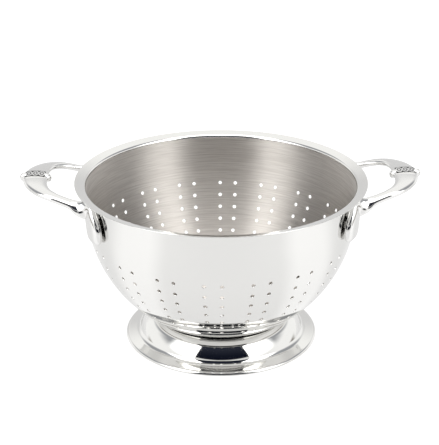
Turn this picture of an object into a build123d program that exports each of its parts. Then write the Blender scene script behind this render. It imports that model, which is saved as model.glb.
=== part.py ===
from build123d import *
from math import asin, atan2, copysign, cos, degrees, pi, radians, sin, sqrt, tan
import os

# A footed colander of polished stainless steel: a perforated round bowl, a spun foot ring,
# and two cast loop handles that stand off the wall on short studs.
# Millimetres, +Z up, origin at the middle of the foot's resting ring, handles along X.

# Bowl
bowl_diameter = 248.0             # outside of the straight wall
bowl_height = 155.1               # table to the top of the rim
bowl_sheet = 0.9                  # thickness of the bowl's sheet
side_arc_radius = 127.0           # outside radius of the round side
side_arc_height = 132.5           # table to the level where the round side meets the straight wall
bottom_height = 14.0              # table to the underside of the flat bottom
bottom_corner_radius = 25.0       # from the round side into the flat bottom

# Rim
rim_reach = 9.35                  # wall to the rim's outer edge
rim_bend_radius = 2.0             # under the rim, where the wall turns outward
rim_rise_angle = 13.0             # the rim climbs outward
rim_edge_round = 0.35             # softened outer edges of the rim

# Drain holes
hole_diameter = 3.5
hole_row_count = 7
hole_row_pitch = 12.1             # along the round side
top_row_height = 103.3            # table to the centres of the top row
hole_pair_count = 18              # pairs of columns round the bowl
hole_pair_angle = 7.3             # between the two columns of a pair
hole_start_angle = 5.0            # from the handle's axis to the middle of the nearest pair
bottom_ring_count = 3
bottom_ring_pitch = 12.0          # between the rings of holes in the flat bottom
holes_per_ring_step = 6

# Foot ring
foot_diameter = 180.6
foot_sheet = 0.8
foot_seat_radius = 56.0           # where the foot leaves the bowl's underside
foot_seat_width = 8.5             # flange against the bowl, inward from there
foot_crest_radius = 61.0          # top of the foot, a narrow dark gap below the bowl
foot_crest_height = 21.75
foot_shoulder_angle = 15.0        # slope of the shoulder, outside the crest
foot_shoulder_width = 5.4         # radial widths of the shoulder, the side and the skirt
foot_side_angle = 48.8
foot_side_width = 6.9
foot_skirt_angle = 62.0
foot_skirt_width = 4.1
foot_edge_radius = 2.8            # the lip's edge turns down to the table
foot_crest_round = 2.5            # between seat and shoulder
foot_shoulder_round = 13.0        # between shoulder and side
foot_side_round = 46.0            # between side and skirt
foot_cove_round = 6.5             # between skirt and lip

# Handles
handle_reach = 55.2               # wall to the outer edge of the crest, without its bud
handle_rise = 2.9                 # middle of the crest above the rim
handle_standoff = 1.6             # clear space between the pads and the wall
pad_width = 22.5
pad_thickness = 7.0               # wall side to the highest point of the pad
pad_drop = 36.6                   # rim to the lower end of the pads
pad_top_drop = 9.0                # rim to the level where the leg leaves the pad
leg_width = 10.5
leg_thickness = 5.8
crest_width = 22.0
crest_thickness = 6.6
pad_angle = 28.6                  # from the handle's axis to the lower end of a pad
pad_top_angle = 23.2              # from the handle's axis to the top of a pad
pad_lean_power = 2.0              # the pad's lean fades towards its lower end
section_points = 12               # round each section
section_power = 0.8               # 1 is an ellipse, less is squarer
pad_sink_share = 0.25             # of a pad's thickness, from its wall side to the sections' middle
pad_end_share = 0.35              # of a pad's thickness, from its wall side to its lowest point

# Sections of a pad from its lower end up: shares of its drop, width and thickness
pad_shares = (
    (0.985, 0.36, 0.42),
    (0.93, 0.66, 0.74),
    (0.82, 0.90, 0.95),
    (0.64, 1.00, 1.00),
    (0.44, 0.97, 1.00),
    (0.25, 0.86, 0.97),
    (0.09, 0.74, 0.92),
)

# Sections of a leg from the pad to the crest: shares of the reach to the crest's middle,
# of the pad's side distance, of the rise, of a quarter turn of lean, and of the growth
# from the leg's width and thickness to the crest's
leg_shares = (
    (0.020, 1.000, 0.02, 0.62, 0.28, 1.0),
    (0.160, 0.935, 0.20, 0.32, 0.06, 0.5),
    (0.385, 0.880, 0.47, 0.14, 0.00, 0.1),
    (0.585, 0.810, 0.68, 0.07, 0.09, 0.1),
    (0.780, 0.670, 0.83, 0.03, 0.34, 0.3),
    (0.920, 0.450, 0.93, 0.01, 0.68, 0.6),
    (0.985, 0.220, 0.98, 0.00, 0.92, 0.9),
    (1.000, 0.000, 1.00, 0.00, 1.00, 1.0),
)

# Collar across the crest
tie_radius = 3.7                  # its bar
tie_lift = 0.3                    # its middle above the crest's middle
inner_bud_radius = 5.0            # rounded end on the bowl's side
outer_bud_radius = 3.0            # small end on the outer side
inner_bud_reach = 3.3             # past the crest's inner edge
outer_bud_reach = 3.1             # past the crest's outer edge

# Studs
stud_diameter = 5.0
stud_clearance = 0.1              # round the stud in its socket
stud_socket_depth = 1.6
stud_drops = (19.0, 29.0)         # rim to the middle of the upper and the lower stud

# Cuts run past their faces by this much
overrun = 2.0

bowl_radius = bowl_diameter / 2
rim_radius = bowl_radius + rim_reach
foot_radius = foot_diameter / 2
arc_centre_x = bowl_radius - side_arc_radius
corner_centre_z = bottom_height + bottom_corner_radius
corner_span = side_arc_radius - bottom_corner_radius
corner_fall = side_arc_height - corner_centre_z
corner_centre_x = arc_centre_x + sqrt(corner_span**2 - corner_fall**2)
corner_angle = degrees(atan2(corner_fall, corner_centre_x - arc_centre_x))

rim_slope = radians(rim_rise_angle)
rim_top_radius = rim_bend_radius + bowl_sheet
rim_flat_run = rim_reach - rim_bend_radius + rim_top_radius * sin(rim_slope)
bend_centre_z = bowl_height - rim_top_radius * cos(rim_slope) - rim_flat_run * tan(rim_slope)

crest_x = bowl_radius + handle_reach - crest_width / 2
crest_z = bowl_height + handle_rise


def upright(sketch):
    """Stands a section drawn as radius and height up on the XZ plane."""
    return Plane.XZ * sketch


def bowl_space(inset):
    """The space within the bowl's outer surface moved inward by inset, with its rim."""
    top = bowl_height + overrun
    wall = bowl_radius - inset
    arc = side_arc_radius - inset
    corner = bottom_corner_radius - inset
    bend = rim_bend_radius + inset
    floor_z = bottom_height + inset
    bend_x = bowl_radius + rim_bend_radius
    flat = (bend_x - bend * sin(rim_slope), bend_centre_z + bend * cos(rim_slope))
    edge_z = flat[1] + (rim_radius - flat[0]) * tan(rim_slope)
    outline = [
        Line((0, floor_z), (corner_centre_x, floor_z)),
        CenterArc((corner_centre_x, corner_centre_z), corner, -90, 90 - corner_angle),
        CenterArc((arc_centre_x, side_arc_height), arc, -corner_angle, corner_angle),
        Line((wall, side_arc_height), (wall, bend_centre_z)),
        CenterArc((bend_x, bend_centre_z), bend, 180, rim_rise_angle - 90),
        Line(flat, (rim_radius, edge_z)),
        Line((rim_radius, edge_z), (rim_radius, top)),
        Line((rim_radius, top), (0, top)),
        Line((0, top), (0, floor_z)),
    ]
    return make_face(outline)


def wall_space(growth, top):
    """The space within the round side and the straight wall, grown outward, without the rim."""
    arc = side_arc_radius + growth
    wall = bowl_radius + growth
    outline = [
        CenterArc((arc_centre_x, side_arc_height), arc, -corner_angle, corner_angle),
        Line((wall, side_arc_height), (wall, top)),
        Line((wall, top), (0, top)),
    ]
    start = outline[0] @ 0
    outline.append(Line((0, top), (0, start.Y)))
    outline.append(Line((0, start.Y), start))
    return make_face(outline)


def side_point(angle):
    """Radius and height on the round side, at an angle below its upper end."""
    return arc_centre_x + side_arc_radius * cos(angle), side_arc_height - side_arc_radius * sin(angle)


def wall_radius_at(height):
    """Outside radius of the bowl at a height."""
    fall = max(0, side_arc_height - height)
    return arc_centre_x + sqrt(side_arc_radius**2 - fall**2)


def wall_height_at(radius):
    """Height of the round side's outer surface at a radius."""
    return side_arc_height - sqrt(side_arc_radius**2 - (radius - arc_centre_x) ** 2)


def hole_cutter():
    """One drain hole's cutter, along Z."""
    return Cylinder(hole_diameter / 2, 2 * (bowl_sheet + overrun))


def side_hole_cutters():
    """Cutters for one pair of hole columns in the round side."""
    top_angle = asin((side_arc_height - top_row_height) / side_arc_radius)
    row_angle = hole_row_pitch / side_arc_radius
    cutters = []
    for row in range(hole_row_count):
        slope = top_angle + row * row_angle
        radius, height = side_point(slope)
        for side in (-0.5, 0.5):
            turn = radians(hole_start_angle + side * hole_pair_angle)
            origin = (radius * cos(turn), radius * sin(turn), height)
            outward = (cos(slope) * cos(turn), cos(slope) * sin(turn), -sin(slope))
            cutters.append(Plane(origin=origin, z_dir=outward) * hole_cutter())
    return cutters


def bottom_hole_cutters():
    """Cutters for the middle hole and the rings of holes in the flat bottom."""
    cutters = [Pos(0, 0, bottom_height) * hole_cutter()]
    for ring in range(1, bottom_ring_count + 1):
        count = ring * holes_per_ring_step
        for step in range(count):
            place = Pos(ring * bottom_ring_pitch, 0, bottom_height)
            cutters.append(Rot(0, 0, 360 * step / count) * place * hole_cutter())
    return cutters


def make_bowl():
    """The drawn bowl with its flared rim, made from one sector for each pair of hole columns."""
    section = bowl_space(0) - bowl_space(bowl_sheet)
    rim_corners = [v for v in section.vertices() if v.X > rim_radius - bowl_sheet / 2]
    section = fillet(rim_corners, rim_edge_round)
    step = 360 / hole_pair_count
    wedge = revolve(upright(section), Axis.Z, revolution_arc=step)
    wedge = Rot(0, 0, hole_start_angle - step / 2) * wedge - side_hole_cutters()
    wedges = [Rot(0, 0, step * turn) * wedge for turn in range(hole_pair_count)]
    shell = wedges[0].fuse(*wedges[1:])
    return shell - bottom_hole_cutters()


def make_foot():
    """The spun foot ring: a seat under the bowl, then crest, shoulder, side, skirt and lip."""
    seat = (foot_seat_radius, wall_height_at(foot_seat_radius))
    corners = [seat, (foot_crest_radius, foot_crest_height)]
    for angle, width in (
        (foot_shoulder_angle, foot_shoulder_width),
        (foot_side_angle, foot_side_width),
        (foot_skirt_angle, foot_skirt_width),
    ):
        x, z = corners[-1]
        corners.append((x + width, z - width * tan(radians(angle))))
    lip_x = foot_radius - foot_edge_radius
    corners.append((lip_x, foot_edge_radius))
    rounds = [foot_crest_round, foot_shoulder_round, foot_side_round, foot_cove_round]
    upper = FilletPolyline(*corners, radius=rounds)
    edge = CenterArc((lip_x, 0), foot_edge_radius, 0, 90)
    outline = offset(Wire(upper.edges() + edge.edges()), amount=foot_sheet, side=Side.RIGHT)
    flange_end = foot_seat_radius + 2 * foot_sheet
    flange_window = Pos(flange_end - foot_seat_width / 2, seat[1]) * Rectangle(foot_seat_width, side_arc_radius)
    flange = (wall_space(foot_sheet, bowl_height) - wall_space(0, bowl_height)) & flange_window
    section = make_face(outline) + flange - wall_space(0, bowl_height)
    return revolve(upright(section), Axis.Z)


def pad_station(drop):
    """Angle round the bowl and radius of the pad's middle line, at a drop below the rim."""
    lower = min(1, max(0, (drop - pad_top_drop) / (pad_drop - pad_top_drop)))
    angle = pad_angle - (pad_angle - pad_top_angle) * (1 - lower) ** pad_lean_power
    return radians(angle), wall_radius_at(bowl_height - drop) + handle_standoff


def handle_stations():
    """Sections of one half of a handle, from its pad's lower end to the crest."""
    stations = []
    for fall_share, width_share, thickness_share in pad_shares:
        drop = pad_top_drop + (pad_drop - pad_top_drop) * fall_share
        angle, radius = pad_station(drop)
        thickness = pad_thickness * thickness_share
        radius += thickness * pad_sink_share
        middle = Vector(radius * cos(angle), radius * sin(angle), bowl_height - drop)
        outward = Vector(cos(angle), sin(angle), 0)
        half_thickness = thickness * (1 - pad_sink_share)
        stations.append((middle, outward, pad_width * width_share, 2 * half_thickness))
    leg_side = bowl_radius * sin(radians(pad_top_angle))
    leg_end = crest_x - bowl_radius
    for reach_share, side_share, rise_share, lean_share, width_share, thickness_share in leg_shares:
        x = bowl_radius + leg_end * reach_share
        z = bowl_height - pad_top_drop + (handle_rise + pad_top_drop) * rise_share
        middle = Vector(x, leg_side * side_share, z)
        lean = radians(90 * lean_share)
        turn = atan2(middle.Y, middle.X)
        outward = Vector(sin(lean) * cos(turn), sin(lean) * sin(turn), cos(lean))
        width = leg_width + (crest_width - leg_width) * width_share
        thickness = leg_thickness + (crest_thickness - leg_thickness) * thickness_share
        stations.append((middle, outward, width, thickness))
    return stations


def handle_section(middle, along, outward, width, thickness):
    """A closed rounded section across the handle, flatter on top than an ellipse."""
    face_plane = Plane(origin=middle, x_dir=along.cross(outward), z_dir=-along)
    points = []
    for step in range(section_points):
        turn = 2 * pi * step / section_points
        across = copysign(abs(cos(turn)) ** section_power, cos(turn))
        up = copysign(abs(sin(turn)) ** section_power, sin(turn))
        points.append(face_plane.from_local_coords(Vector(width / 2 * across, thickness / 2 * up)))
    return Wire([Edge.make_spline(points, periodic=True)])


def make_handle():
    """The right handle: pads, legs and crest in one cast piece, with the collar across its crest."""
    half = handle_stations()
    mirrored = [(Vector(m.X, -m.Y, m.Z), Vector(n.X, -n.Y, n.Z), w, t) for m, n, w, t in half[:-1]]
    stations = half + mirrored[::-1]
    middles = [station[0] for station in stations]
    wires = []
    for index, (middle, outward, width, thickness) in enumerate(stations):
        before = middles[max(0, index - 1)]
        after = middles[min(len(middles) - 1, index + 1)]
        along = (after - before).normalized()
        wires.append(handle_section(middle, along, outward, width, thickness))
    ends = [Vertex(*pad_end(side)) for side in (1, -1)]
    loop = Solid.make_loft([ends[0]] + wires + [ends[1]])
    loop = loop.fuse(*collar())
    clear_space = revolve(upright(wall_space(handle_standoff, bowl_height + handle_reach)), Axis.Z)
    loop = loop - clear_space
    return loop - [stud_cutter(side, drop) for side in (1, -1) for drop in stud_drops]


def pad_end(side):
    """The lowest point of a pad."""
    angle, radius = pad_station(pad_drop)
    radius += pad_thickness * pad_end_share
    return radius * cos(angle), side * radius * sin(angle), bowl_height - pad_drop


def collar():
    """The collar across the crest: a bar with a large bud inward and a small one outward."""
    level = crest_z + tie_lift
    inner_x = crest_x - crest_width / 2 - inner_bud_reach + inner_bud_radius
    outer_x = crest_x + crest_width / 2 + outer_bud_reach - outer_bud_radius
    inner_level = level + tie_radius - inner_bud_radius
    bar = Pos((inner_x + outer_x) / 2, 0, level) * Rot(0, 90, 0) * Cylinder(tie_radius, outer_x - inner_x)
    inner_bud = Pos(inner_x, 0, inner_level) * Sphere(inner_bud_radius)
    outer_bud = Pos(outer_x, 0, level) * Sphere(outer_bud_radius)
    return [bar, inner_bud, outer_bud]


def stud_bar(side, drop, diameter):
    """A bar through the middle of a stud, from inside the wall to the end of its socket."""
    angle, seat = pad_station(drop)
    end = bowl_radius + handle_standoff + stud_socket_depth
    start = seat - handle_standoff - pad_thickness
    place = Pos(start * cos(angle), side * start * sin(angle), bowl_height - drop)
    direction = (cos(angle), side * sin(angle), 0)
    bar = extrude(Plane(origin=(0, 0, 0), z_dir=direction) * Circle(diameter / 2), end - start)
    return place * bar


def make_stud(side, drop):
    """A stud from the bowl's wall to the bottom of its socket in the pad."""
    return stud_bar(side, drop, stud_diameter) - revolve(upright(wall_space(0, bowl_height)), Axis.Z)


def stud_cutter(side, drop):
    """The socket in the pad for a stud."""
    return stud_bar(side, drop, stud_diameter + 2 * stud_clearance)


def main():
    os.makedirs("parts", exist_ok=True)
    pieces = {"bowl": make_bowl(), "foot_ring": make_foot()}
    handle = make_handle()
    turned = Rot(0, 0, 180)
    pieces["handle_right"] = handle
    pieces["handle_left"] = turned * handle
    for along, side in (("front", -1), ("back", 1)):
        for level, drop in zip(("upper", "lower"), stud_drops):
            stud = make_stud(side, drop)
            opposite = "back" if along == "front" else "front"
            pieces[f"stud_right_{along}_{level}"] = stud
            pieces[f"stud_left_{opposite}_{level}"] = turned * stud
    for name, piece in pieces.items():
        piece.label = name
        export_step(piece, f"parts/{name}.step")
        print(f"{name}: {piece.volume:.1f} mm3, valid {piece.is_valid}")


main()
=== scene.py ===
from math import asin, atan2, cos, degrees, pi, radians, sin, sqrt, tan

import bmesh
import bpy
import numpy as np
from mathutils import Matrix, Vector, kdtree


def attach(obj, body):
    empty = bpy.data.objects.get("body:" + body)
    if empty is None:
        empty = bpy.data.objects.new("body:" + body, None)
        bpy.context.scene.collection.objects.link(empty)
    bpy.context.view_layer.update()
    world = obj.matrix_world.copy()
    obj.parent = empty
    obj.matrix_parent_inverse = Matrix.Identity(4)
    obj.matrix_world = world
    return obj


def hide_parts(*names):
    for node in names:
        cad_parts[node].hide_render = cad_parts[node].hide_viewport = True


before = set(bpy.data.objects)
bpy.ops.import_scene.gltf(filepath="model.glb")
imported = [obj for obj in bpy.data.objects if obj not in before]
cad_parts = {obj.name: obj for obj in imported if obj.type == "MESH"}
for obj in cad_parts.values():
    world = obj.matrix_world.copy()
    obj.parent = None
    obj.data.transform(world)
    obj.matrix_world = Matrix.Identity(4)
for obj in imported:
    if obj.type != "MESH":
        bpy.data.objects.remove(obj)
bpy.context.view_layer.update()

# The meshes are made in millimetres and scaled to metres as they are finished.
millimetre = 0.001
tiny = 1e-4


# Shared geometry helpers

def arcPoints(centre, radius, start, end, count):
    points = []
    for step in range(count + 1):
        turn = radians(start + (end - start) * step / count)
        points.append((centre[0] + radius * cos(turn), centre[1] + radius * sin(turn)))
    return points


def roundedPath(corners, rounds, steps):
    path = [corners[0]]
    for index, radius in enumerate(rounds, 1):
        before, corner, after = (Vector(p) for p in corners[index - 1:index + 2])
        toBefore = (before - corner).normalized()
        toAfter = (after - corner).normalized()
        half = toBefore.angle(toAfter) / 2
        centre = corner + (toBefore + toAfter).normalized() * radius / sin(half)
        start = corner + toBefore * radius / tan(half)
        end = corner + toAfter * radius / tan(half)
        first = atan2(start.y - centre.y, start.x - centre.x)
        sweep = (atan2(end.y - centre.y, end.x - centre.x) - first + pi) % (2 * pi) - pi
        path += arcPoints(centre, radius, degrees(first), degrees(first + sweep), steps)
    path.append(corners[-1])
    return path


def divided(path, longest):
    fine = [path[0]]
    for start, end in zip(path, path[1:]):
        length = sqrt((end[0] - start[0]) ** 2 + (end[1] - start[1]) ** 2)
        if length < tiny:
            continue
        parts = max(1, round(length / longest))
        for part in range(1, parts + 1):
            share = part / parts
            fine.append((start[0] + (end[0] - start[0]) * share, start[1] + (end[1] - start[1]) * share))
    return fine


def pathNormals(path):
    # Each point's normal, to the left of the way along the path.
    points = np.array(path)
    steps = np.diff(points, axis=0)
    steps /= np.linalg.norm(steps, axis=1)[:, None]
    along = np.vstack([steps[:1], steps[:-1] + steps[1:], steps[-1:]])
    along /= np.linalg.norm(along, axis=1)[:, None]
    return np.column_stack([-along[:, 1], along[:, 0]])


def pathTree(path):
    tree = kdtree.KDTree(len(path))
    for index, point in enumerate(path):
        tree.insert((point[0], point[1], 0), index)
    tree.balance()
    return tree


def joinRings(bm, rings):
    for first, second in zip(rings, rings[1:]):
        for step in range(len(first)):
            following = (step + 1) % len(first)
            bm.faces.new((first[step], first[following], second[following], second[step]))


def newObject(name, bm, materials):
    bmesh.ops.scale(bm, vec=(millimetre,) * 3, verts=bm.verts)
    mesh = bpy.data.meshes.new(name)
    bm.to_mesh(mesh)
    bm.free()
    mesh.polygons.foreach_set("use_smooth", [True] * len(mesh.polygons))
    piece = bpy.data.objects.new(name, mesh)
    bpy.context.scene.collection.objects.link(piece)
    for material in materials:
        mesh.materials.append(material)
    return piece


def setTurnedNormals(piece, path, normals, reach):
    # Points that lie on the turned path get its exact normal, the others keep their own.
    tree = pathTree(path)
    chosen = []
    for vertex in piece.data.vertices:
        x, y, z = (c / millimetre for c in vertex.co)
        radius = sqrt(x * x + y * y)
        place, index, distance = tree.find((radius, z, 0))
        if distance > reach or radius < tiny:
            chosen.append((0, 0, 0))
            continue
        across, up = normals[index]
        chosen.append((across * x / radius, across * y / radius, up))
    piece.data.normals_split_custom_set_from_vertices(chosen)


# The bowl: one pierced sheet, bent to the turned profile and given its thickness

bowlSize = {
    "radius": 124.0, "height": 155.1, "sheet": 0.9, "arcRadius": 127.0, "arcHeight": 132.5,
    "bottomHeight": 14.0, "cornerRadius": 25.0,
    "rimRadius": 133.35, "rimBend": 2.0, "rimRise": 13.0, "rimEdge": 0.35, "rimBand": 1.5,
    "holeRadius": 1.75, "holeRows": 7, "holePitch": 12.1, "topRowHeight": 103.3,
    "pairs": 18, "pairAngle": 7.3, "startAngle": 5.0,
    "bottomRings": 3, "bottomPitch": 12.0, "bottomStep": 6,
    "cellHalf": 3.0, "cellAngle": 1.8, "holeSides": 16, "holeEdge": 0.22, "holeMargin": 0.6, "inset": 0.2,
    "weld": 0.01, "pathSteps": 6000, "normalReach": 0.03,
}
# How many rows or columns of faces each stretch of the sheet has.
bowlCounts = {
    "corner": 5, "low": 16, "cell": 4, "between": 3, "high": 12, "wall": 6, "bend": 8, "rim": 4, "gap": 2,
    "rimEdge": 4, "holeEdge": 2,
}
arcCentre = bowlSize["radius"] - bowlSize["arcRadius"]
cornerZ = bowlSize["bottomHeight"] + bowlSize["cornerRadius"]
cornerSpan = bowlSize["arcRadius"] - bowlSize["cornerRadius"]
cornerFall = bowlSize["arcHeight"] - cornerZ
cornerX = arcCentre + sqrt(cornerSpan**2 - cornerFall**2)
cornerAngle = degrees(atan2(cornerFall, cornerX - arcCentre))
rimSlope = radians(bowlSize["rimRise"])
rimTop = bowlSize["rimBend"] + bowlSize["sheet"]
rimRun = bowlSize["rimRadius"] - bowlSize["radius"] - bowlSize["rimBend"] + rimTop * sin(rimSlope)
bendZ = bowlSize["height"] - rimTop * cos(rimSlope) - rimRun * tan(rimSlope)
bendX = bowlSize["radius"] + bowlSize["rimBend"]


def bowlSections():
    # Lengths and kinds of the profile's stretches from the middle of the bottom to the rim.
    rimStart = bendX - bowlSize["rimBend"] * sin(rimSlope)
    return [
        ("line", cornerX, ((0, bowlSize["bottomHeight"]), (1, 0))),
        ("arc", bowlSize["cornerRadius"], ((cornerX, cornerZ), -90, 90 - cornerAngle)),
        ("arc", bowlSize["arcRadius"], ((arcCentre, bowlSize["arcHeight"]), -cornerAngle, cornerAngle)),
        ("line", bendZ - bowlSize["arcHeight"], ((bowlSize["radius"], bowlSize["arcHeight"]), (0, 1))),
        ("arc", bowlSize["rimBend"], ((bendX, bendZ), 180, bowlSize["rimRise"] - 90)),
        ("line", (bowlSize["rimRadius"] - rimStart) / cos(rimSlope),
         ((rimStart, bendZ + bowlSize["rimBend"] * cos(rimSlope)), (cos(rimSlope), sin(rimSlope)))),
    ]


def sectionLength(section):
    kind, size, facts = section
    return size if kind == "line" else size * radians(abs(facts[2]))


def bowlAt(length):
    # Radius, height and outward normal of the outer surface, at a length along the profile.
    sections = bowlSections()
    for section in sections:
        reach = sectionLength(section)
        if length <= reach + tiny or section is sections[-1]:
            break
        length -= reach
    kind, size, facts = section
    if kind == "line":
        start, way = facts
        return start[0] + way[0] * length, start[1] + way[1] * length, way[1], -way[0]
    centre, first, sweep = facts
    outward = 1 if sweep > 0 else -1
    turn = radians(first) + length / size * outward
    return (centre[0] + size * cos(turn), centre[1] + size * sin(turn),
            outward * cos(turn), outward * sin(turn))


def stretch(start, end, count):
    return [start + (end - start) * (step + 1) / count for step in range(count)]


def bowlRows():
    # Lengths along the profile, with cells of rows where holes go, and each cell's first row.
    lengths = [sectionLength(section) for section in bowlSections()]
    sideStart = lengths[0] + lengths[1]
    sideEnd = sideStart + lengths[2]
    topAngle = asin((bowlSize["arcHeight"] - bowlSize["topRowHeight"]) / bowlSize["arcRadius"])
    topHole = sideEnd - bowlSize["arcRadius"] * topAngle
    holeLengths = [topHole - bowlSize["holePitch"] * row for row in range(bowlSize["holeRows"])][::-1]
    half = bowlSize["cellHalf"]
    rows = [lengths[0]]
    rows += stretch(rows[-1], sideStart, bowlCounts["corner"])
    rows += stretch(rows[-1], holeLengths[0] - half, bowlCounts["low"])
    cellRows = []
    for place, middle in enumerate(holeLengths):
        cellRows.append(len(rows) - 1)
        rows += stretch(middle - half, middle + half, bowlCounts["cell"])
        if place + 1 < len(holeLengths):
            rows += stretch(rows[-1], holeLengths[place + 1] - half, bowlCounts["between"])
    rows += stretch(rows[-1], sideEnd, bowlCounts["high"])
    rows += stretch(sideEnd, sideEnd + lengths[3], bowlCounts["wall"])
    rows += stretch(rows[-1], rows[-1] + lengths[4], bowlCounts["bend"])
    rows += stretch(rows[-1], rows[-1] + lengths[5], bowlCounts["rim"])
    return rows, cellRows


def bowlColumns():
    # Degrees round the bowl, with cells of columns where holes go, and each cell's first column.
    pitch = 360 / bowlSize["pairs"]
    wide = bowlSize["cellAngle"]
    near = bowlSize["pairAngle"] / 2
    columns = [-180 + bowlSize["startAngle"] - pitch / 2]
    cellColumns = []
    for pair in range(bowlSize["pairs"]):
        middle = -180 + bowlSize["startAngle"] + pitch * pair
        columns += stretch(columns[-1], middle - near - wide, bowlCounts["gap"])
        cellColumns.append(len(columns) - 1)
        columns += stretch(columns[-1], middle - near + wide, bowlCounts["cell"])
        columns += stretch(columns[-1], middle + near - wide, bowlCounts["gap"])
        cellColumns.append(len(columns) - 1)
        columns += stretch(columns[-1], middle + near + wide, bowlCounts["cell"])
        columns += stretch(columns[-1], middle + pitch / 2, bowlCounts["gap"])
    return columns, cellColumns


def makeRound(faces, radius):
    # Moves each inset cell's points onto a circle about the cell's middle.
    wide, half = bowlSize["cellAngle"], bowlSize["cellHalf"]
    corner = 2 * pi / bowlSize["holeSides"]
    for face, (middleX, middleY) in faces.items():
        for vertex in face.verts:
            turn = atan2((vertex.co.y - middleY) / half, (vertex.co.x - middleX) / wide)
            turn = round(turn / corner) * corner
            along = middleY + radius * sin(turn)
            vertex.co.y = along
            vertex.co.x = middleX + degrees(radius * cos(turn) / bowlAt(along)[0])


def bowlMesh():
    rows, cellRows = bowlRows()
    columns, cellColumns = bowlColumns()
    bm = bmesh.new()
    bmesh.ops.create_grid(bm, x_segments=len(columns) - 1, y_segments=len(rows) - 1, size=1)
    place = {}
    for vertex in bm.verts:
        column = round((vertex.co.x + 1) / 2 * (len(columns) - 1))
        row = round((vertex.co.y + 1) / 2 * (len(rows) - 1))
        place[vertex] = (column, row)
        vertex.co = (columns[column], rows[row], 0)
    inColumns = {c for first in cellColumns for c in range(first, first + bowlCounts["cell"])}
    inRows = {r for first in cellRows for r in range(first, first + bowlCounts["cell"])}
    cellFaces = []
    for face in bm.faces:
        column = min(place[v][0] for v in face.verts)
        row = min(place[v][1] for v in face.verts)
        if column in inColumns and row in inRows:
            cellFaces.append(face)
    joined = bmesh.ops.dissolve_faces(bm, faces=cellFaces, use_verts=True)["region"]
    middles = {}
    for face in joined:
        xs = [v.co.x for v in face.verts]
        ys = [v.co.y for v in face.verts]
        middles[face] = ((min(xs) + max(xs)) / 2, (min(ys) + max(ys)) / 2)
    for radius in (bowlSize["holeRadius"] + bowlSize["holeMargin"], bowlSize["holeRadius"]):
        bmesh.ops.inset_individual(bm, faces=joined, thickness=bowlSize["inset"])
        makeRound(middles, radius)
    bmesh.ops.delete(bm, geom=joined, context="FACES_ONLY")
    for vertex in bm.verts:
        radius, height, across, up = bowlAt(vertex.co.y)
        turn = radians(vertex.co.x)
        vertex.co = (radius * cos(turn), radius * sin(turn), height)
    bmesh.ops.remove_doubles(bm, verts=bm.verts, dist=bowlSize["weld"])
    return bm


def fillBottom(bm):
    level = bowlSize["bottomHeight"]
    edges = [e for e in bm.edges if e.is_boundary and all(abs(v.co.z - level) < tiny for v in e.verts)]
    places = [(0, 0)]
    for ring in range(1, bowlSize["bottomRings"] + 1):
        reach = ring * bowlSize["bottomPitch"]
        count = ring * bowlSize["bottomStep"]
        for step in range(count):
            turn = 2 * pi * step / count
            places.append((reach * cos(turn), reach * sin(turn)))
    for x, y in places:
        made = bmesh.ops.create_circle(bm, segments=bowlSize["holeSides"], radius=bowlSize["holeRadius"],
                                       matrix=Matrix.Translation((x, y, level)))
        edges += list({e for v in made["verts"] for e in v.link_edges})
    bmesh.ops.triangle_fill(bm, edges=edges, use_beauty=True, use_dissolve=False, normal=(0, 0, -1))


def bowlPath(inset):
    # The turned surface as points and normals, for exact shading.
    total = sum(sectionLength(section) for section in bowlSections())
    path, normals = [], []
    for step in range(bowlSize["pathSteps"] + 1):
        radius, height, across, up = bowlAt(total * step / bowlSize["pathSteps"])
        path.append((radius - across * inset, height - up * inset))
        normals.append((-across, -up) if inset else (across, up))
    return path, normals


def makeBowl(materials):
    bm = bowlMesh()
    fillBottom(bm)
    outer = list(bm.faces)
    path, normals = bowlPath(0)
    tree = pathTree(path)
    made = bmesh.ops.extrude_face_region(bm, geom=outer, use_keep_orig=True)["geom"]
    for vertex in (g for g in made if isinstance(g, bmesh.types.BMVert)):
        radius = sqrt(vertex.co.x**2 + vertex.co.y**2)
        across, up = normals[tree.find((radius, vertex.co.z, 0))[1]]
        turn = atan2(vertex.co.y, vertex.co.x)
        vertex.co -= Vector((across * cos(turn), across * sin(turn), up)) * bowlSize["sheet"]
    # The rim is polished on both sides, and the inside is brushed below its bend.
    innerFaces = [g for g in made if isinstance(g, bmesh.types.BMFace)]
    for face in innerFaces:
        face.material_index = 1 if face.calc_center_median().z < bendZ else 0
    bmesh.ops.recalc_face_normals(bm, faces=bm.faces)
    print("bowl sheet", len(bm.faces), "faces")
    flat = set(outer) | set(innerFaces)
    walls = set(bm.faces) - flat
    edges = [e for e in bm.edges
             if len(set(e.link_faces) & walls) == 1 and len(set(e.link_faces) & flat) == 1]
    rimStart = bowlSize["rimRadius"] - bowlSize["rimBand"]
    rimEdges = [e for e in edges if e.verts[0].co.xy.length > rimStart]
    holeEdges = [e for e in edges if e.verts[0].co.xy.length < rimStart]
    for place, chosen in (("rimEdge", rimEdges), ("holeEdge", holeEdges)):
        bmesh.ops.bevel(bm, geom=chosen, offset=bowlSize[place], segments=bowlCounts[place], profile=0.5,
                        affect="EDGES", material=-1)
    piece = newObject("bowlBody", bm, materials)
    innerPath, innerNormals = bowlPath(bowlSize["sheet"])
    setTurnedNormals(piece, path + innerPath, normals + innerNormals, bowlSize["normalReach"])
    print("bowl", len(piece.data.polygons), "faces")
    return piece


# The foot: a seat flange under the bowl, then crest, shoulder, side, skirt, lip and turned-down edge

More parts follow.
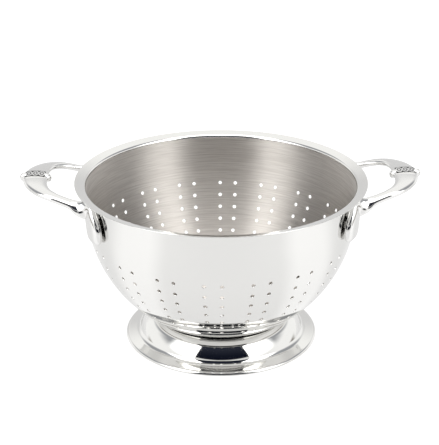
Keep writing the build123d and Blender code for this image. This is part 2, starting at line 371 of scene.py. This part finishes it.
footSize = {
    "radius": 90.3, "sheet": 0.8, "seatRadius": 56.0, "seatWidth": 8.5, "crest": (61.0, 21.75),
    "slopes": ((15.0, 5.4), (48.8, 6.9), (62.0, 4.1)), "edgeRadius": 2.8, "rounds": (2.5, 13.0, 46.0, 6.5),
    "seatGap": 0.03, "flangeShare": 1.1, "longest": 0.6, "weld": 0.001, "normalReach": 0.01,
    "turns": 240, "roundSteps": 30, "edgeSteps": 14, "flangeSteps": 12,
}


def bowlHeightAt(radius):
    return bowlSize["arcHeight"] - sqrt(bowlSize["arcRadius"]**2 - (radius - arcCentre) ** 2)


def seatTop(radius):
    return bowlHeightAt(radius) - footSize["seatGap"]


def seatUnder(radius):
    return seatTop(radius) - footSize["sheet"] * footSize["flangeShare"]


def footOuter():
    size = footSize
    corners = [(size["seatRadius"], seatTop(size["seatRadius"])), size["crest"]]
    for angle, width in size["slopes"]:
        x, z = corners[-1]
        corners.append((x + width, z - width * tan(radians(angle))))
    lipX = size["radius"] - size["edgeRadius"]
    corners.append((lipX, size["edgeRadius"]))
    upper = divided(roundedPath(corners, size["rounds"], size["roundSteps"]), size["longest"])
    return upper + arcPoints((lipX, 0), size["edgeRadius"], 90, 0, size["edgeSteps"])[1:]


def makeFoot(materials):
    size = footSize
    outer = footOuter()
    outerNormals = pathNormals(outer)
    inner = [(p[0] - n[0] * size["sheet"], p[1] - n[1] * size["sheet"]) for p, n in zip(outer, outerNormals)]
    flangeStart = size["seatRadius"] + 2 * size["sheet"] - size["seatWidth"]
    flangeRun = size["seatRadius"] - flangeStart
    flange = [flangeStart + flangeRun * step / size["flangeSteps"] for step in range(size["flangeSteps"])]
    top = [(r, seatTop(r)) for r in flange]
    under = [(r, seatUnder(r)) for r in flange]
    belowSeat = [p for p in inner if p[1] < seatUnder(p[0])]
    outline = top + outer + belowSeat[::-1] + under[::-1]
    bm = bmesh.new()
    verts = [bm.verts.new((x, 0, z)) for x, z in outline]
    edges = [bm.edges.new((a, b)) for a, b in zip(verts, verts[1:] + verts[:1])]
    bmesh.ops.spin(bm, geom=verts + edges, cent=(0, 0, 0), axis=(0, 0, 1), angle=2 * pi,
                   steps=size["turns"], use_merge=True)
    bmesh.ops.remove_doubles(bm, verts=bm.verts, dist=size["weld"])
    bmesh.ops.recalc_face_normals(bm, faces=bm.faces)
    piece = newObject("footRing", bm, materials)
    normals = [tuple(n) for n in outerNormals] + [(-n[0], -n[1]) for n in outerNormals]
    setTurnedNormals(piece, outer + inner, normals, size["normalReach"])
    print("foot", len(piece.data.polygons), "faces")
    return piece


# The handles: sections swept from one pad round the loop to the other

handleSize = {
    "reach": 55.2, "rise": 2.9, "standoff": 1.6,
    "padWidth": 22.5, "padThickness": 7.0, "padDrop": 36.6, "padTopDrop": 9.0,
    "legWidth": 10.5, "legThickness": 5.8, "crestWidth": 22.0, "crestThickness": 6.6,
    "padAngle": 28.6, "padTopAngle": 23.2, "padSink": 0.25,
    "swell": 0.5, "swellEnd": 8.2, "swellEase": 1.5, "wallEase": 0.35, "easeReach": 4,
    "sides": 48, "fine": 10, "power": 0.8,
}
# Shares of the pad's drop, width and thickness, from its lower end up.
padShares = (
    (1.000, 0.06, 0.10), (0.985, 0.36, 0.42), (0.93, 0.66, 0.74), (0.82, 0.90, 0.95), (0.64, 1.00, 1.00),
    (0.44, 0.97, 1.00), (0.25, 0.86, 0.97), (0.09, 0.74, 0.92),
)
# Shares of the leg's reach, side, rise and lean, then of the change to the crest's width and thickness.
legShares = (
    (0.020, 1.000, 0.02, 0.62, 0.28, 1.0), (0.160, 0.935, 0.20, 0.32, 0.06, 0.5),
    (0.385, 0.880, 0.47, 0.14, 0.00, 0.1), (0.585, 0.810, 0.68, 0.07, 0.09, 0.1),
    (0.780, 0.670, 0.83, 0.03, 0.34, 0.3), (0.920, 0.450, 0.93, 0.01, 0.68, 0.6),
    (0.985, 0.220, 0.98, 0.00, 0.92, 0.9), (1.000, 0.000, 1.00, 0.00, 1.00, 1.0),
)
crestX = bowlSize["radius"] + handleSize["reach"] - handleSize["crestWidth"] / 2
crestZ = bowlSize["height"] + handleSize["rise"]


def wallRadiusAt(height):
    fall = max(0, bowlSize["arcHeight"] - height)
    return arcCentre + sqrt(bowlSize["arcRadius"]**2 - fall**2)


def padPlace(drop):
    size = handleSize
    lower = min(1, max(0, (drop - size["padTopDrop"]) / (size["padDrop"] - size["padTopDrop"])))
    angle = size["padAngle"] - (size["padAngle"] - size["padTopAngle"]) * (1 - lower) ** 2
    return radians(angle), wallRadiusAt(bowlSize["height"] - drop) + size["standoff"]


def handleStations():
    # Middle, outward way, width and thickness of each section from one pad to the other.
    size = handleSize
    stations = []
    for fall, width, thickness in padShares:
        drop = size["padTopDrop"] + (size["padDrop"] - size["padTopDrop"]) * fall
        angle, radius = padPlace(drop)
        thick = size["padThickness"] * thickness
        radius += thick * size["padSink"]
        middle = Vector((radius * cos(angle), radius * sin(angle), bowlSize["height"] - drop))
        outward = Vector((cos(angle), sin(angle), 0))
        stations.append((middle, outward, size["padWidth"] * width, 2 * thick * (1 - size["padSink"])))
    legSide = bowlSize["radius"] * sin(radians(size["padTopAngle"]))
    legEnd = crestX - bowlSize["radius"]
    for reach, side, rise, lean, width, thickness in legShares:
        z = bowlSize["height"] - size["padTopDrop"] + (size["rise"] + size["padTopDrop"]) * rise
        middle = Vector((bowlSize["radius"] + legEnd * reach, legSide * side, z))
        turn = atan2(middle.y, middle.x)
        tilt = radians(90 * lean)
        outward = Vector((sin(tilt) * cos(turn), sin(tilt) * sin(turn), cos(tilt)))
        wide = size["legWidth"] + (size["crestWidth"] - size["legWidth"]) * width
        thick = size["legThickness"] + (size["crestThickness"] - size["legThickness"]) * thickness
        stations.append((middle, outward, wide, thick))
    mirrored = [(Vector((m.x, -m.y, m.z)), Vector((o.x, -o.y, o.z)), w, t) for m, o, w, t in stations[:-1]]
    return stations + mirrored[::-1]


def smoothRows(rows, parts):
    # A curve through every row of numbers, spaced by the length between the middles.
    rows = np.array(rows)
    steps = np.sqrt(np.linalg.norm(np.diff(rows[:, :3], axis=0), axis=1))
    knots = np.concatenate([[0], np.cumsum(steps)])
    slopes = np.gradient(rows, knots, axis=0)
    fine = []
    for index in range(len(rows) - 1):
        gap = knots[index + 1] - knots[index]
        for part in range(parts):
            t = part / parts
            fine.append((2 * t**3 - 3 * t**2 + 1) * rows[index] + (t**3 - 2 * t**2 + t) * gap * slopes[index]
                        + (3 * t**2 - 2 * t**3) * rows[index + 1] + (t**3 - t**2) * gap * slopes[index + 1])
    fine.append(rows[-1])
    return np.array(fine)


def clearOfWall(point):
    # Eases a point out of the clear space between pads and wall, with a rounded turn.
    radius = point.xy.length
    height = point.z
    if height > bowlSize["arcHeight"]:
        depth = radius - bowlSize["radius"] - handleSize["standoff"]
        across, up = 1, 0
    else:
        away = Vector((radius - arcCentre, height - bowlSize["arcHeight"]))
        depth = away.length - bowlSize["arcRadius"] - handleSize["standoff"]
        across, up = away.normalized()
    soft = handleSize["wallEase"]
    near = depth < handleSize["easeReach"] * soft
    shift = (sqrt(depth * depth + soft * soft) - depth) / 2 if near else 0
    turn = atan2(point.y, point.x)
    return point + Vector((across * cos(turn), across * sin(turn), up)) * shift


def squarer(value):
    # Pushes a sine or cosine outward, so that the sections are squarer than an ellipse.
    return abs(value) ** handleSize["power"] * (1 if value > 0 else -1)


def handleLoop(bm):
    size = handleSize
    rows = smoothRows([(*m, *o, w, t) for m, o, w, t in handleStations()], size["fine"])
    rings = []
    for index, row in enumerate(rows):
        middle = Vector(row[:3])
        before = Vector(rows[max(0, index - 1)][:3])
        after = Vector(rows[min(len(rows) - 1, index + 1)][:3])
        along = (after - before).normalized()
        side = along.cross(Vector(row[3:6])).normalized()
        up = side.cross(along).normalized()
        swell = min(1, max(0, (size["swellEnd"] - abs(middle.y)) / size["swellEase"])) * size["swell"]
        ring = []
        for step in range(size["sides"]):
            turn = 2 * pi * step / size["sides"]
            across = side * (row[6] / 2 + swell) * squarer(cos(turn))
            rise = up * (row[7] / 2 + swell) * squarer(sin(turn))
            ring.append(bm.verts.new(clearOfWall(middle + across - rise)))
        rings.append(ring)
    joinRings(bm, rings)
    for ring in (rings[0], rings[-1]):
        bm.faces.new(ring)


# The ornament across the crest: an inner bud, a bar and an outer bud

collarSize = {
    "radius": 2.6, "lift": 0.3, "innerBud": 5.0, "outerBud": 3.9, "innerReach": 3.3, "outerReach": 3.1,
    "barStart": 6.2, "barEnd": 4.6, "barEdge": 1.2, "neck": 2.3, "neckReach": 2,
    "innerDrop": 1.3, "dropSpan": 11, "fullHeight": 3.4, "flatten": 5, "sides": 72, "steps": 110,
}
# The braid is painted shade only: a dark colour on the crest's steel where the incised grooves would be
# shaded.
braidSize = {
    "pitch": 11.5, "swing": 5.0, "length": 18.5, "edge": 7.2, "ribbon": 0.8, "groove": 1.25,
    "soft": 0.1, "edgeSoft": 0.4, "endSoft": 0.5, "rise": (1, 1.5),
    "dark": (0.02, 0.02, 0.02), "roughness": (0.12, 0.5),
}


def collarShape(share):
    # Place along X, height of the middle and radius, from the inner bud's tip to the outer's.
    size = collarSize
    start = crestX - handleSize["crestWidth"] / 2 - size["innerReach"]
    end = crestX + handleSize["crestWidth"] / 2 + size["outerReach"]
    x = start + (end - start) * share
    level = crestZ + size["lift"]
    inner = sqrt(max(0, size["innerBud"]**2 - (x - start - size["innerBud"]) ** 2))
    outer = sqrt(max(0, size["outerBud"]**2 - (x - end + size["outerBud"]) ** 2))
    barStart, barEnd = start + size["barStart"], end - size["barEnd"]
    bar = 0
    if barStart < x < barEnd:
        edge = min(x - barStart, barEnd - x, size["barEdge"]) / size["barEdge"]
        bar = size["radius"] * sqrt(1 - (1 - edge) ** 2)
    neck = size["neck"] if barStart - size["neckReach"] < x < barEnd + size["neckReach"] else 0
    lowered = max(0, 1 - (x - start) / size["dropSpan"])
    return x, level - size["innerDrop"] * lowered, max(inner, outer, bar, neck)


def makeCollar(bm):
    size = collarSize
    rings = []
    for step in range(size["steps"] + 1):
        x, level, radius = collarShape(0.5 - 0.5 * cos(pi * step / size["steps"]))
        tall = min(radius, size["fullHeight"] + (radius - size["fullHeight"]) / size["flatten"])
        ring = []
        for side in range(size["sides"]):
            turn = 2 * pi * side / size["sides"]
            ring.append(bm.verts.new((x, radius * sin(turn), level + tall * cos(turn))))
        rings.append(ring)
    joinRings(bm, rings)
    for ring in (rings[0], rings[-1]):
        bmesh.ops.pointmerge(bm, verts=ring, merge_co=sum((v.co for v in ring), Vector()) / len(ring))


def makeHandle(name, turn, materials):
    bm = bmesh.new()
    handleLoop(bm)
    makeCollar(bm)
    bmesh.ops.rotate(bm, verts=bm.verts, cent=(0, 0, 0), matrix=Matrix.Rotation(turn, 3, "Z"))
    bmesh.ops.recalc_face_normals(bm, faces=bm.faces)
    piece = newObject(name, bm, materials)
    print(name, len(piece.data.polygons), "faces")
    return piece


# The studs between wall and pads

studSize = {"radius": 2.5, "gap": 0.05, "drops": {"upper": 19.0, "lower": 29.0}, "sides": 40}


def makeStud(name, right, side, drop, materials):
    angle, seat = padPlace(drop)
    start = seat - handleSize["standoff"] + studSize["gap"]
    length = handleSize["standoff"] - 2 * studSize["gap"]
    direction = Vector((cos(angle), side * sin(angle), 0))
    middle = direction * (start + length / 2) + Vector((0, 0, bowlSize["height"] - drop))
    turned = Matrix.Translation(middle) @ direction.to_track_quat("Z", "Y").to_matrix().to_4x4()
    bm = bmesh.new()
    bmesh.ops.create_cone(bm, cap_ends=True, segments=studSize["sides"], radius1=studSize["radius"],
                          radius2=studSize["radius"], depth=length, matrix=turned)
    if not right:
        bmesh.ops.rotate(bm, verts=bm.verts, cent=(0, 0, 0), matrix=Matrix.Rotation(pi, 3, "Z"))
    return newObject(name, bm, materials)


# Shared material helpers

def newMaterial(name, color, metallic, roughness):
    material = bpy.data.materials.new(name)
    material.use_nodes = True
    shader = material.node_tree.nodes["Principled BSDF"]
    shader.inputs["Base Color"].default_value = (*color, 1)
    shader.inputs["Metallic"].default_value = metallic
    shader.inputs["Roughness"].default_value = roughness
    return material


def mathNode(tree, kind, *values):
    node = tree.nodes.new("ShaderNodeMath")
    node.operation = kind
    for socket, value in zip(node.inputs, values):
        if isinstance(value, (int, float)):
            socket.default_value = value
        else:
            tree.links.new(value, socket)
    return node.outputs[0]


def rangeNode(tree, value, low, high, toLow=0, toHigh=1):
    node = tree.nodes.new("ShaderNodeMapRange")
    node.interpolation_type = "SMOOTHSTEP"
    for name, number in (("From Min", low), ("From Max", high), ("To Min", toLow), ("To Max", toHigh)):
        node.inputs[name].default_value = number
    tree.links.new(value, node.inputs["Value"])
    return node.outputs["Result"]


def mixNode(tree, factor, first, second):
    node = tree.nodes.new("ShaderNodeMix")
    node.data_type = "RGBA"
    tree.links.new(factor, node.inputs["Factor"])
    for socket, value in zip((node.inputs[6], node.inputs[7]), (first, second)):
        if isinstance(value, tuple):
            socket.default_value = (*value, 1)
        else:
            tree.links.new(value, socket)
    return node.outputs[2]


def axesOf(tree, output):
    split = tree.nodes.new("ShaderNodeSeparateXYZ")
    tree.links.new(tree.nodes.new("ShaderNodeTexCoord").outputs[output], split.inputs[0])
    return split.outputs


def turnFromFront(tree, x, y):
    # Degrees round the upright axis, 0 at the front and 180 behind, alike on both sides.
    turn = mathNode(tree, "ARCTAN2", x, mathNode(tree, "MULTIPLY", y, -1))
    return mathNode(tree, "DEGREES", mathNode(tree, "ABSOLUTE", turn))


# Steel finishes

# Each layer of streaks has a length, a fineness and a weight.
brushing = {
    "layers": ((2.4, 2600, 0.6), (5, 760, 0.4)), "detail": 3, "stretch": 1, "turn": 0.25,
    "roughRange": (0.3, 0.7, 0.48, 0.62), "tintRange": (0.36, 0.64),
    "dark": (0.66, 0.625, 0.59), "pale": (0.84, 0.81, 0.775), "bump": 0.5, "depth": 0.00002,
}


def addBrushing(material):
    # Fine streaks that run round the bowl: they vary its tone and roughness and tilt the normal a little.
    tree = material.node_tree
    shader = tree.nodes["Principled BSDF"]
    shader.inputs["Anisotropic"].default_value = brushing["stretch"]
    shader.inputs["Anisotropic Rotation"].default_value = brushing["turn"]
    tangent = tree.nodes.new("ShaderNodeTangent")
    tangent.direction_type = "RADIAL"
    tangent.axis = "Z"
    tree.links.new(tangent.outputs[0], shader.inputs["Tangent"])
    x, y, z = axesOf(tree, "Object")
    squares = mathNode(tree, "ADD", mathNode(tree, "MULTIPLY", x, x), mathNode(tree, "MULTIPLY", y, y))
    radius = mathNode(tree, "SQRT", squares)
    along = mathNode(tree, "ADD", radius, z)
    masks = []
    for length, fineness, weight in brushing["layers"]:
        place = tree.nodes.new("ShaderNodeCombineXYZ")
        for socket, axis in zip(place.inputs, (x, y)):
            tree.links.new(mathNode(tree, "MULTIPLY", mathNode(tree, "DIVIDE", axis, radius), length), socket)
        tree.links.new(mathNode(tree, "MULTIPLY", along, fineness), place.inputs[2])
        noise = tree.nodes.new("ShaderNodeTexNoise")
        noise.inputs["Scale"].default_value = 1
        noise.inputs["Detail"].default_value = brushing["detail"]
        tree.links.new(place.outputs[0], noise.inputs["Vector"])
        masks.append(mathNode(tree, "MULTIPLY", noise.outputs["Fac"], weight))
    streaks = mathNode(tree, "ADD", *masks)
    tree.links.new(rangeNode(tree, streaks, *brushing["roughRange"]), shader.inputs["Roughness"])
    tint = mixNode(tree, rangeNode(tree, streaks, *brushing["tintRange"]), brushing["dark"], brushing["pale"])
    tree.links.new(tint, shader.inputs["Base Color"])
    bump = tree.nodes.new("ShaderNodeBump")
    bump.inputs["Strength"].default_value = brushing["bump"]
    bump.inputs["Distance"].default_value = brushing["depth"]
    tree.links.new(streaks, bump.inputs["Height"])
    tree.links.new(bump.outputs[0], shader.inputs["Normal"])


def addBraidGrooveShade(material):
    # Painted shade along two ribbons that swing across the crest and cross each other: the bands where the
    # incised grooves lie are painted dark and rougher, standing in for the shade in them, and the mesh has no
    # grooves.
    tree = material.node_tree
    size = braidSize
    waves = 2 * pi / size["pitch"]
    x, y, z = (mathNode(tree, "DIVIDE", axis, millimetre) for axis in axesOf(tree, "Object"))
    along = mathNode(tree, "SUBTRACT", mathNode(tree, "ABSOLUTE", x), crestX)
    wave = mathNode(tree, "COSINE", mathNode(tree, "MULTIPLY", along, waves))
    swing = mathNode(tree, "MULTIPLY", wave, size["swing"])
    gaps = [mathNode(tree, "ABSOLUTE", mathNode(tree, kind, y, swing)) for kind in ("SUBTRACT", "ADD")]
    slope = mathNode(tree, "SINE", mathNode(tree, "MULTIPLY", along, waves))
    slope = mathNode(tree, "MULTIPLY", slope, size["swing"] * waves)
    lean = mathNode(tree, "SQRT", mathNode(tree, "ADD", mathNode(tree, "MULTIPLY", slope, slope), 1))
    gap = mathNode(tree, "DIVIDE", mathNode(tree, "MINIMUM", *gaps), lean)
    half = size["length"] / 2
    soft = size["soft"]
    grooveEnd = size["ribbon"] + size["groove"]
    low, high = size["rise"]
    grooveShade = rangeNode(tree, gap, size["ribbon"] - soft, size["ribbon"] + soft)
    for limit in (
        rangeNode(tree, gap, grooveEnd + soft, grooveEnd - soft),
        rangeNode(tree, mathNode(tree, "ABSOLUTE", y), size["edge"], size["edge"] - size["edgeSoft"]),
        rangeNode(tree, mathNode(tree, "ABSOLUTE", along), half, half - size["endSoft"]),
        rangeNode(tree, z, crestZ + low, crestZ + high),
    ):
        grooveShade = mathNode(tree, "MULTIPLY", grooveShade, limit)
    shader = tree.nodes["Principled BSDF"]
    steel = tuple(shader.inputs["Base Color"].default_value)[:3]
    # Painted shade: the steel's colour is darkened along the grooves.
    tree.links.new(mixNode(tree, grooveShade, steel, size["dark"]), shader.inputs["Base Color"])
    tree.links.new(rangeNode(tree, grooveShade, 0, 1, *size["roughness"]), shader.inputs["Roughness"])


polishedSteel = newMaterial("polishedSteel", (0.76, 0.755, 0.74), 1, 0.06)
brushedInside = newMaterial("brushedInside", (0.66, 0.64, 0.61), 1, 0.45)
castSteel = newMaterial("castSteel", (0.76, 0.755, 0.745), 1, 0.12)
# Painted shade: the studs' steel is darker than the rest, standing in for the shade in the gap between pads
# and wall.
shadedStudSteel = newMaterial("shadedStudSteel", (0.45, 0.44, 0.42), 1, 0.35)
addBrushing(brushedInside)
# Paints shade into the crest's grooves.
addBraidGrooveShade(castSteel)
print("steel finishes made")


# Build

bowl = makeBowl([polishedSteel, brushedInside])
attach(bowl, "root")
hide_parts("bowl")

foot = makeFoot([polishedSteel])
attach(foot, "root")
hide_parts("foot_ring")

for side, turn in (("right", 0), ("left", pi)):
    handle = makeHandle("handle" + side.capitalize(), turn, [castSteel])
    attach(handle, "root")
    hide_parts("handle_" + side)

for side in ("right", "left"):
    for place in ("front", "back"):
        for level, drop in studSize["drops"].items():
            name = "stud" + side.capitalize() + place.capitalize() + level.capitalize()
            way = 1 if (place == "back") == (side == "right") else -1
            stud = makeStud(name, side == "right", way, drop, [shadedStudSteel])
            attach(stud, "root")
            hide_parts("stud_%s_%s_%s" % (side, place, level))
print("studs made")


# Floor: it glows instead of being lit, evenly pale to the camera; what the steel mirrors is painted light,
# brighter on two sides towards the bright panels and a little darker behind.

floorSize = {
    "radius": 4, "sides": 128, "drop": 0.0001, "color": (0.1, 0.1, 0.1), "roughness": 0.7,
    "brighterStart": (38, 56), "brighterEnd": (96, 76), "gain": 0.17,
    "sideLevels": (84, 110, 0.84, 0.76), "backLevels": (140, 156, 0, -0.1),
}


def makeFloorPaintedLight():
    size = floorSize
    paint = newMaterial("floorPaintedLight", size["color"], 0, size["roughness"])
    tree = paint.node_tree
    x, y, z = axesOf(tree, "Object")
    turn = turnFromFront(tree, x, y)
    # Painted light: the glow that the steel mirrors is stronger on two sides and weaker behind.
    brighter = mathNode(tree, "MULTIPLY", rangeNode(tree, turn, *size["brighterStart"]),
                        rangeNode(tree, turn, *size["brighterEnd"]))
    level = mathNode(tree, "ADD", mathNode(tree, "MULTIPLY", brighter, size["gain"]),
                     rangeNode(tree, turn, *size["sideLevels"]))
    level = mathNode(tree, "ADD", level, rangeNode(tree, turn, *size["backLevels"]))
    direct = tree.nodes.new("ShaderNodeLightPath").outputs["Is Camera Ray"]
    shader = tree.nodes["Principled BSDF"]
    shader.inputs["Emission Color"].default_value = (1, 1, 1, 1)
    tree.links.new(mathNode(tree, "MAXIMUM", level, direct), shader.inputs["Emission Strength"])
    return paint


def makeFloor():
    bm = bmesh.new()
    bmesh.ops.create_circle(bm, cap_ends=True, segments=floorSize["sides"], radius=floorSize["radius"])
    bmesh.ops.translate(bm, verts=bm.verts, vec=(0, 0, -floorSize["drop"]))
    mesh = bpy.data.meshes.new("floor")
    bm.to_mesh(mesh)
    bm.free()
    mesh.materials.append(makeFloorPaintedLight())
    floor = bpy.data.objects.new("floor", mesh)
    bpy.context.scene.collection.objects.link(floor)
    return floor


floor = makeFloor()
print("floor made")


# The studio round it: a dark gap in front, bright panels beside it, and the sides, back and top

# Pairs of angles are where a change starts and ends, of colours the low and the high one.
studio = {
    "gapRise": (28, 62), "gap": ((0.004, 0.006, 0.014), (0.03, 0.034, 0.05)),
    "stripStart": (22, 24), "stripEnd": (28.5, 27), "stripLow": (7, 4), "strip": (0.9, 0.9, 0.89),
    "raised": (20, 34),
    "panelsTurn": (38.5, 40.5), "panels": ((1.1, 1.1, 1.09), (4.5, 4.5, 4.45)),
    "sidesTurn": (64, 92), "sides": ((1.15, 1.15, 1.14), (0.4, 0.41, 0.43)),
    "backTurn": (138, 156), "back": ((0.8, 0.8, 0.8), (1.15, 1.15, 1.13)),
    "lowStart": (62, 70), "lowEnd": (125, 110), "lowRise": (7, 3), "low": (0.24, 0.21, 0.18),
    "topRise": (62, 72), "top": (1.9, 1.87, 1.82), "seen": (1.0, 1.0, 1.0),
}


def studioWorld():
    world = bpy.data.worlds.new("studio")
    world.use_nodes = True
    bpy.context.scene.world = world
    tree = world.node_tree
    tree.nodes.clear()
    x, y, z = axesOf(tree, "Generated")
    turn = turnFromFront(tree, x, y)
    height = mathNode(tree, "DEGREES", mathNode(tree, "ARCSINE", z))
    gap = mixNode(tree, rangeNode(tree, height, *studio["gapRise"]), *studio["gap"])
    strip = mathNode(tree, "MULTIPLY", rangeNode(tree, height, *studio["stripStart"]),
                     rangeNode(tree, height, *studio["stripEnd"]))
    strip = mathNode(tree, "MAXIMUM", strip, rangeNode(tree, height, *studio["stripLow"]))
    around = mixNode(tree, strip, gap, studio["strip"])
    raised = rangeNode(tree, height, *studio["raised"])
    for place in ("panels", "sides", "back"):
        paint = mixNode(tree, raised, *studio[place])
        around = mixNode(tree, rangeNode(tree, turn, *studio[place + "Turn"]), around, paint)
    aside = mathNode(tree, "MULTIPLY", rangeNode(tree, turn, *studio["lowStart"]),
                     rangeNode(tree, turn, *studio["lowEnd"]))
    low = mathNode(tree, "MULTIPLY", aside, rangeNode(tree, height, *studio["lowRise"]))
    around = mixNode(tree, low, around, studio["low"])
    around = mixNode(tree, rangeNode(tree, height, *studio["topRise"]), around, studio["top"])
    direct = tree.nodes.new("ShaderNodeLightPath").outputs["Is Camera Ray"]
    shine = tree.nodes.new("ShaderNodeBackground")
    tree.links.new(mixNode(tree, direct, around, studio["seen"]), shine.inputs["Color"])
    output = tree.nodes.new("ShaderNodeOutputWorld")
    tree.links.new(shine.outputs[0], output.inputs["Surface"])


studioWorld()
print("studio made")


# Lamp and camera

lampSize = {"width": 1.6, "power": 12, "place": (0, 0.1, 2.2)}
cameraSize = {
    "place": (-0.03495, -1.11495, 0.5900), "look": (0.0276, 0.9185, -0.3946),
    "lens": 107.69, "sensor": 36, "farthest": 50,
}

lampData = bpy.data.lights.new("overhead", "AREA")
lampData.shape = "DISK"
lampData.size = lampSize["width"]
lampData.energy = lampSize["power"]
lamp = bpy.data.objects.new("overhead", lampData)
lamp.location = lampSize["place"]
bpy.context.scene.collection.objects.link(lamp)

cameraData = bpy.data.cameras.new("camera")
cameraData.sensor_fit = "HORIZONTAL"
cameraData.sensor_width = cameraSize["sensor"]
cameraData.lens = cameraSize["lens"]
cameraData.clip_end = cameraSize["farthest"]
camera = bpy.data.objects.new("camera", cameraData)
camera.location = cameraSize["place"]
camera.rotation_euler = Vector(cameraSize["look"]).to_track_quat("-Z", "Y").to_euler()
bpy.context.scene.collection.objects.link(camera)
bpy.context.scene.camera = camera
bpy.context.scene.view_settings.view_transform = "Standard"
print("lamp and camera made")
